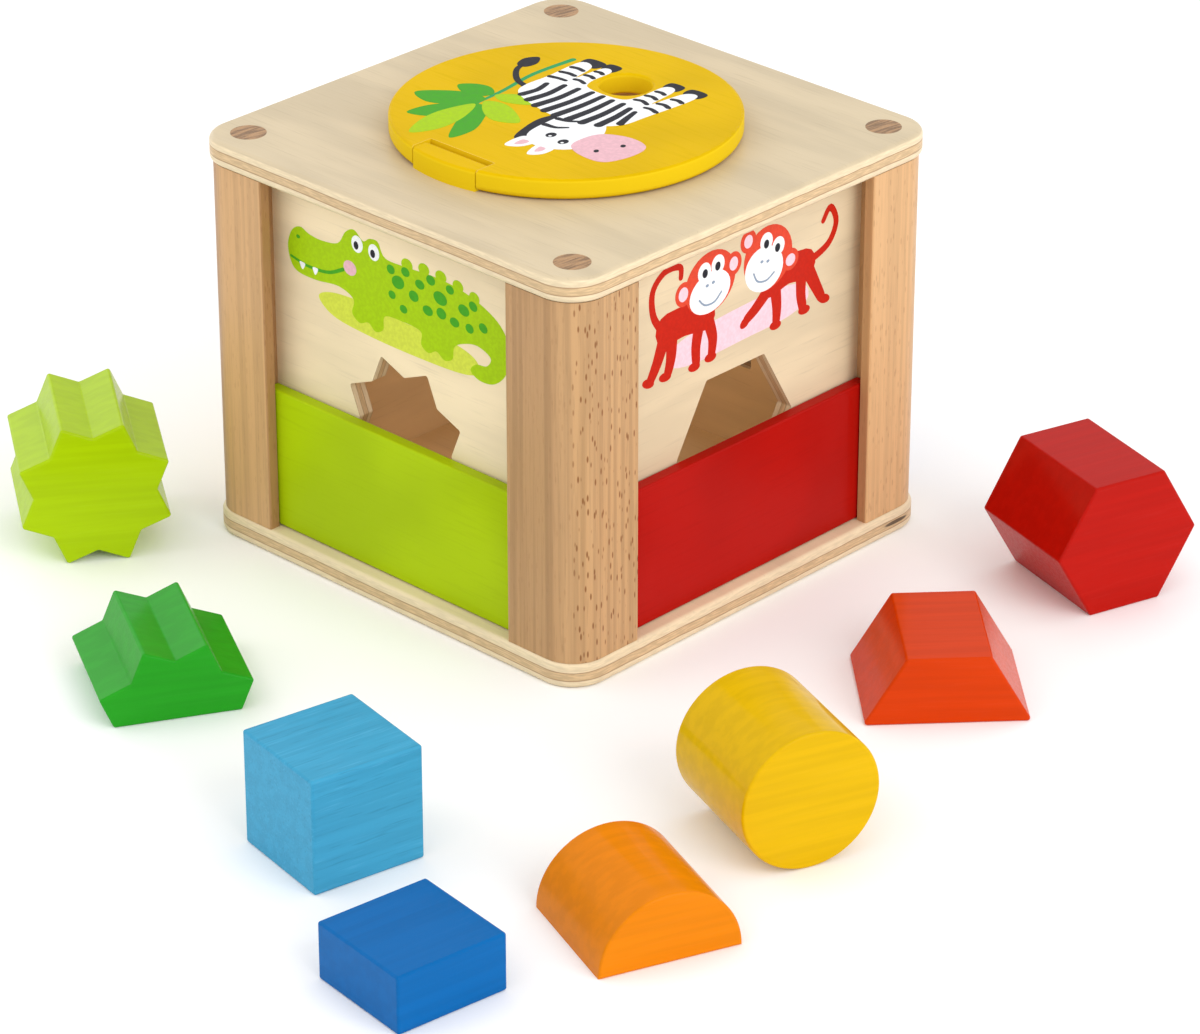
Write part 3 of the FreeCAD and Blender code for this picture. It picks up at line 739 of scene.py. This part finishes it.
class SORTER_OT_boards(bpy.types.Operator):
    """Finishes the bottom and top boards as birch plywood"""
    bl_idname = "sorter.boards"
    bl_label = "Boards"

    def execute(self, context):
        colours = context.scene.sorter_colours
        plies = context.scene.sorter_finish.ply_count
        for node, tone in BOARDS:
            low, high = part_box(node)
            thickness = high[2] - low[2]
            void = None
            if node == "bottom_board":
                void = (high[0], high[1] - VOID_FROM_CORNER, low[2] + VOID_HEIGHT * thickness)
            dress(node, birch_plywood("birch_plywood_" + node, colours, tone, 2, low[2], thickness, plies, 0,
                                      (*BOARD_GRAIN_ORIGIN, low[2]), void))
        return {"FINISHED"}


class SORTER_OT_walls(bpy.types.Operator):
    """Finishes the four walls as birch plywood"""
    bl_idname = "sorter.walls"
    bl_label = "Walls"

    def execute(self, context):
        colours = context.scene.sorter_colours
        for node, axis, tone in WALLS:
            low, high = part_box(node)
            thickness = high[axis] - low[axis]
            dress(node, birch_plywood("birch_plywood_" + node, colours, tone, axis, low[axis], thickness,
                                      WALL_PLIES, 1 - axis, low))
        return {"FINISHED"}


class SORTER_OT_posts(bpy.types.Operator):
    """Finishes the corner posts and the dowels as beech"""
    bl_idname = "sorter.posts"
    bl_label = "Posts and dowels"

    def execute(self, context):
        colours = context.scene.sorter_colours
        for node, tone, stripes, flecks, shade_y, shade_x in POSTS:
            base = shade(colours.beech, tone)
            dress(node, beech("beech_" + node, base, stripes, flecks, shade_y, shade_x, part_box(node)[0]))
        for node in ("top_dowels", "bottom_dowels"):
            dress(node, beech_end_grain("beech_end_grain_" + node, colours.dowel))
        return {"FINISHED"}


class SORTER_OT_doors(bpy.types.Operator):
    """Finishes the four sliding doors with satin lacquer"""
    bl_idname = "sorter.doors"
    bl_label = "Sliding doors"

    def execute(self, context):
        colours = context.scene.sorter_colours
        edge_wear_highlight = context.scene.sorter_finish.wear_and_highlight_width
        for node, colour in (("door_green", colours.green_lacquer), ("door_red", colours.red_lacquer),
                             ("door_blue", colours.blue_lacquer), ("door_yellow", colours.yellow_lacquer)):
            low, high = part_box(node)
            across = 0 if high[0] - low[0] > high[1] - low[1] else 1
            dress(node, lacquered_wood("lacquered_plywood_" + node, colour, drawn_out(*DOOR_GRAIN, across),
                                       edge_wear_highlight, DOOR_SHINE, DOOR_EDGE_HIGHLIGHT))
        return {"FINISHED"}


class SORTER_OT_lid(bpy.types.Operator):
    """Finishes the lid, its hinge block and its pin with satin lacquer"""
    bl_idname = "sorter.lid"
    bl_label = "Lid and hinge"

    def execute(self, context):
        colours = context.scene.sorter_colours
        edge_wear_highlight = context.scene.sorter_finish.wear_and_highlight_width
        # painted light on the upright rim of the lid, the hinge block and the pin
        lit_rim = (*colours.lid_rim_lit, 1.0)
        for node in ("lid", "hinge_block", "hinge_pin"):
            width = edge_wear_highlight if node == "lid" else edge_wear_highlight * HINGE_EDGE_SHARE
            dress(node, lacquered_wood("lacquered_plywood_" + node, colours.yellow_lacquer,
                                       drawn_out(*LID_GRAIN, 0), width, LID_SHINE, LID_EDGE_HIGHLIGHT, lit_rim))
        return {"FINISHED"}


class SORTER_OT_blocks(bpy.types.Operator):
    """Finishes the eight loose blocks in stained beech"""
    bl_idname = "sorter.blocks"
    bl_label = "Loose blocks"

    def execute(self, context):
        colours = context.scene.sorter_colours
        edge_wear_highlight = context.scene.sorter_finish.wear_and_highlight_width
        for node, turn in BLOCK_TURNS.items():
            low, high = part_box(node)
            centre = tuple((a + b) / 2 for a, b in zip(low, high))
            # the grain runs along the cubes and across the other prisms
            long_axis = 1 if "cube" in node else 0
            streaks = CUBE_STREAKS if node == "block_cube" else OTHER_STREAKS
            colour = getattr(colours, node.replace("block_", ""))
            dress(node, stained_beech("stained_beech_" + node, colour, streaks, long_axis, centre,
                                      math.radians(turn), edge_wear_highlight))
        return {"FINISHED"}


class SORTER_OT_wall_prints(bpy.types.Operator):
    """Prints an animal above each hole: crocodile, monkeys, elephant and giraffe"""
    bl_idname = "sorter.wall_prints"
    bl_label = "Wall pictures"

    def execute(self, context):
        for turns, (name, layers, wall) in enumerate((
                ("print_crocodile", CROCODILE, "wall_star"), ("print_monkeys", MONKEYS, "wall_hexagon"),
                ("print_elephant", ELEPHANT, "wall_square"), ("print_giraffe", GIRAFFE, "wall_round"))):
            print_picture(name, layers, wall_face(wall, turns), "box")
        return {"FINISHED"}


class SORTER_OT_lid_print(bpy.types.Operator):
    """Prints the zebra and its plant on the lid"""
    bl_idname = "sorter.lid_print"
    bl_label = "Lid picture"

    def execute(self, context):
        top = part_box("lid")[1][2]
        face = (Vector((0, 0, top)), Vector((1, 0, 0)), Vector((0, 1, 0)), Vector((0, 0, 1)))
        print_picture("print_zebra", ZEBRA, face, "lid")
        return {"FINISHED"}


class SORTER_OT_stage(bpy.types.Operator):
    """Sets the floor, the soft light and the camera"""
    bl_idname = "sorter.stage"
    bl_label = "Stage"

    def execute(self, context):
        scene = context.scene
        sizes = scene.sorter_stage
        half = sizes.floor_side / 2
        mesh = bpy.data.meshes.new("floor")
        mesh.from_pydata([(-half, -half, 0), (half, -half, 0), (half, half, 0), (-half, half, 0)], [],
                         [(0, 1, 2, 3)])
        # matt white paper: bright, without any reflection
        material, tree, shader = start_material("white_paper")
        shader.inputs["Base Color"].default_value = PAPER_WHITE
        shader.inputs["Roughness"].default_value = PAPER_ROUGHNESS
        shader.inputs["Specular IOR Level"].default_value = 0.0
        mesh.materials.append(material)
        link("floor", mesh)

        world = bpy.data.worlds.new("studio")
        world.use_nodes = True
        background = world.node_tree.nodes["Background"]
        background.inputs["Color"].default_value = (1, 1, 1, 1)
        background.inputs["Strength"].default_value = sizes.sky_strength
        scene.world = world
        scene.view_settings.view_transform = "Standard"

        for name, place, side, share in LAMPS:
            light = bpy.data.lights.new(name, "AREA")
            light.size = side
            light.energy = sizes.key_power * share
            link(name, light, place, LAMP_TARGET)
        # weak warm light in the cavity, for what bounces about between the bare inner faces
        light = bpy.data.lights.new("cavity_light", "POINT")
        light.color = CAVITY_COLOUR
        light.energy = CAVITY_POWER
        light.shadow_soft_size = CAVITY_RADIUS
        link("cavity_light", light, CAVITY_PLACE).visible_camera = False

        camera = bpy.data.cameras.new("camera")
        camera.sensor_width = SENSOR_WIDTH
        camera.lens = sizes.lens
        camera.clip_end = SIGHT_LIMIT
        scene.camera = link("camera", camera, CAMERA_PLACE, CAMERA_TARGET)
        return {"FINISHED"}


OPERATORS = (
    SORTER_OT_boards, SORTER_OT_walls, SORTER_OT_posts, SORTER_OT_doors, SORTER_OT_lid, SORTER_OT_blocks,
    SORTER_OT_wall_prints, SORTER_OT_lid_print, SORTER_OT_stage,
)


class SORTER_PT_panel(bpy.types.Panel):
    """Lists the steps that dress the shape sorter"""
    bl_label = "Shape sorter"
    bl_idname = "SORTER_PT_panel"
    bl_space_type = "VIEW_3D"
    bl_region_type = "UI"
    bl_category = "Shape sorter"

    def draw(self, context):
        column = self.layout.column(align=True)
        for operator in OPERATORS:
            column.operator(operator.bl_idname)


GROUPS = (
    ("sorter_colours", SorterColours), ("sorter_finish", SorterFinish), ("sorter_stage", SorterStage))


def register():
    for name, group in GROUPS:
        bpy.utils.register_class(group)
        setattr(bpy.types.Scene, name, bpy.props.PointerProperty(type=group))
    for operator in OPERATORS:
        bpy.utils.register_class(operator)
    bpy.utils.register_class(SORTER_PT_panel)


def unregister():
    bpy.utils.unregister_class(SORTER_PT_panel)
    for operator in reversed(OPERATORS):
        bpy.utils.unregister_class(operator)
    for name, group in reversed(GROUPS):
        delattr(bpy.types.Scene, name)
        bpy.utils.unregister_class(group)


def main():
    register()
    bpy.ops.sorter.boards()
    bpy.ops.sorter.walls()
    bpy.ops.sorter.posts()
    bpy.ops.sorter.doors()
    bpy.ops.sorter.lid()
    bpy.ops.sorter.blocks()
    bpy.ops.sorter.wall_prints()
    bpy.ops.sorter.lid_print()
    bpy.ops.sorter.stage()


if __name__ == "__main__":
    main()
